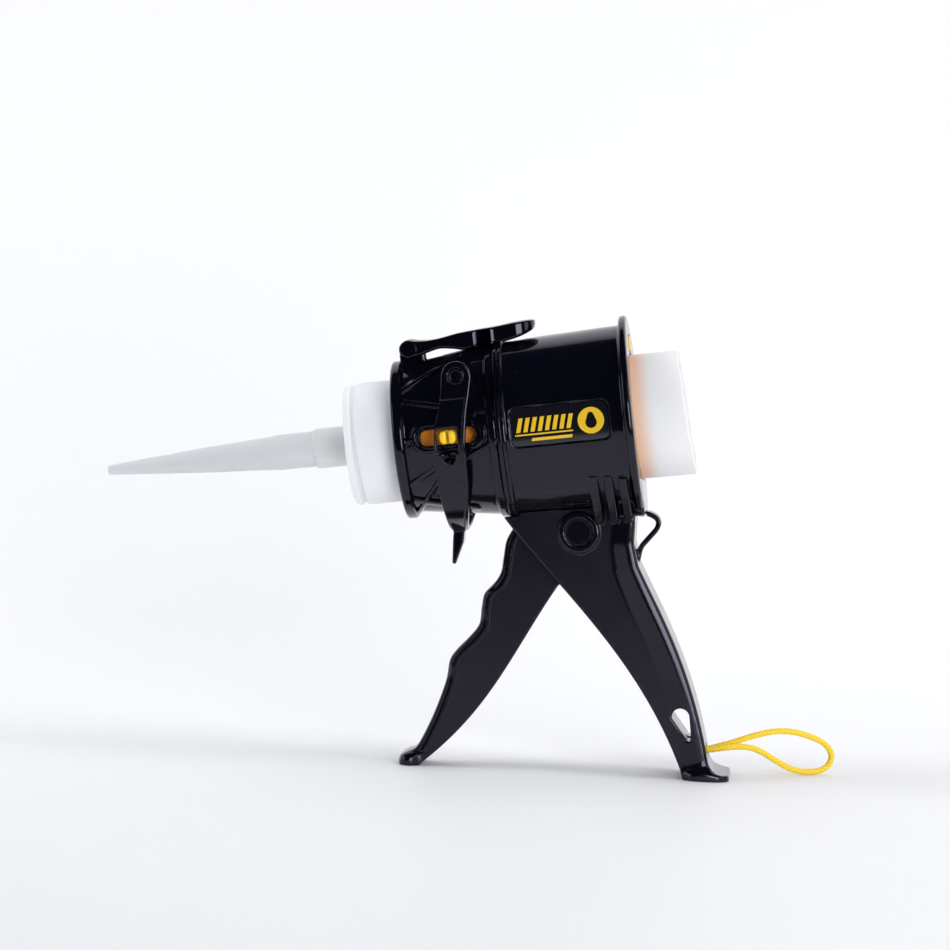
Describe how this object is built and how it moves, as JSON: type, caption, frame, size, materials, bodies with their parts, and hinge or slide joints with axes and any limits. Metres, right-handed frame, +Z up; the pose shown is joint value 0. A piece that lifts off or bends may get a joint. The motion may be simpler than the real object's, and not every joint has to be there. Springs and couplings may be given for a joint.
{
  "type": "caulking gun",
  "caption": "Compact hand-squeezed cartridge gun: short barrel on a grip with trigger, clamp lever, side bail, slotted cartridge and nozzle.",
  "frame": {"origin": "centre of the gun's box, without its cord, on the surface that it stands on", "axes": "+X towards the back of the gun, +Y to its right-hand side, +Z up; the barrel leans 8.25 degrees nose down"},
  "size_m": [0.304, 0.0826, 0.1875],
  "materials": {
    "black_shell": "glossy moulded black",
    "black_grip": "glossy moulded black with a finely etched web",
    "steel": "bright",
    "label": "printed sticker, yellow on black",
    "cord": "braided",
    "bronze": "sintered bronze",
    "yellow": "satin moulded",
    "zinc": "cast",
    "spring_steel": "drawn wire",
    "white_tube": "satin polyethylene",
    "clear_nozzle": "translucent polyethylene"
  },
  "bodies": {
    "root": {"barrel": "black_shell", "nose_ring": "black_shell", "handle": "black_grip", "handle_screws": "steel", "trigger_pin": "black_grip", "pin_cap": "black_grip", "bail_pins": "black_shell", "lever_pin": "steel", "side_labels": "label", "strap_cord": "cord", "strap_knot": "cord", "return_spring": "spring_steel"},
    "trigger": {"trigger": "black_grip", "pivot_bush": "bronze", "drive_pin": "steel"},
    "carriage": {"carriage": "yellow", "piston": "zinc", "cutter_blades": "steel", "blade_screws": "steel", "grip_pawls": "steel"},
    "bail": {"bail": "black_shell"},
    "clamp": {"clamp_lever": "black_shell", "lever_spring": "spring_steel"},
    "cartridge": {"cartridge_tube": "white_tube", "cartridge_nozzle": "clear_nozzle"},
    "plunger": {"cartridge_plunger": "white_tube"}
  },
  "joints": [
    {"name": "trigger_squeeze", "type": "hinge", "parent": "root", "child": "trigger", "pos_m": [0.06562, 0, 0.09904], "axis": [0, -1, 0], "range_deg": [0, 26], "stiffness_Nm_per_rad": 0.5, "springref_deg": -34.38},
    {"name": "carriage_slide", "type": "slide", "parent": "root", "child": "carriage", "axis": [-0.9897, 0, -0.1435], "range_m": [0, 0.00635], "deforming": ["return_spring"]},
    {"name": "bail_swing", "type": "hinge", "parent": "root", "child": "bail", "pos_m": [0.01532, 0, 0.16167], "axis": [0, 1, 0], "range_deg": [0, 13.4]},
    {"name": "clamp_lever_lift", "type": "hinge", "parent": "root", "child": "clamp", "pos_m": [-0.00736, 0, 0.17031], "axis": [0, -1, 0], "range_deg": [0, 75], "stiffness_Nm_per_rad": 0.03, "springref_deg": -28.65},
    {"name": "cartridge_slide", "type": "slide", "parent": "root", "child": "cartridge", "axis": [-0.9897, 0, -0.1435], "range_m": [0, 0.125]},
    {"name": "plunger_slide", "type": "slide", "parent": "cartridge", "child": "plunger", "axis": [-0.9897, 0, -0.1435], "range_m": [0, 0.00635]}
  ],
  "couplings": [
    {"joint": "carriage_slide", "follows": "trigger_squeeze", "m_per_rad": 0.01388},
    {"joint": "bail_swing", "follows": "trigger_squeeze", "ratio": 0.50769},
    {"joint": "plunger_slide", "follows": "trigger_squeeze", "m_per_rad": 0.01388}
  ]
}
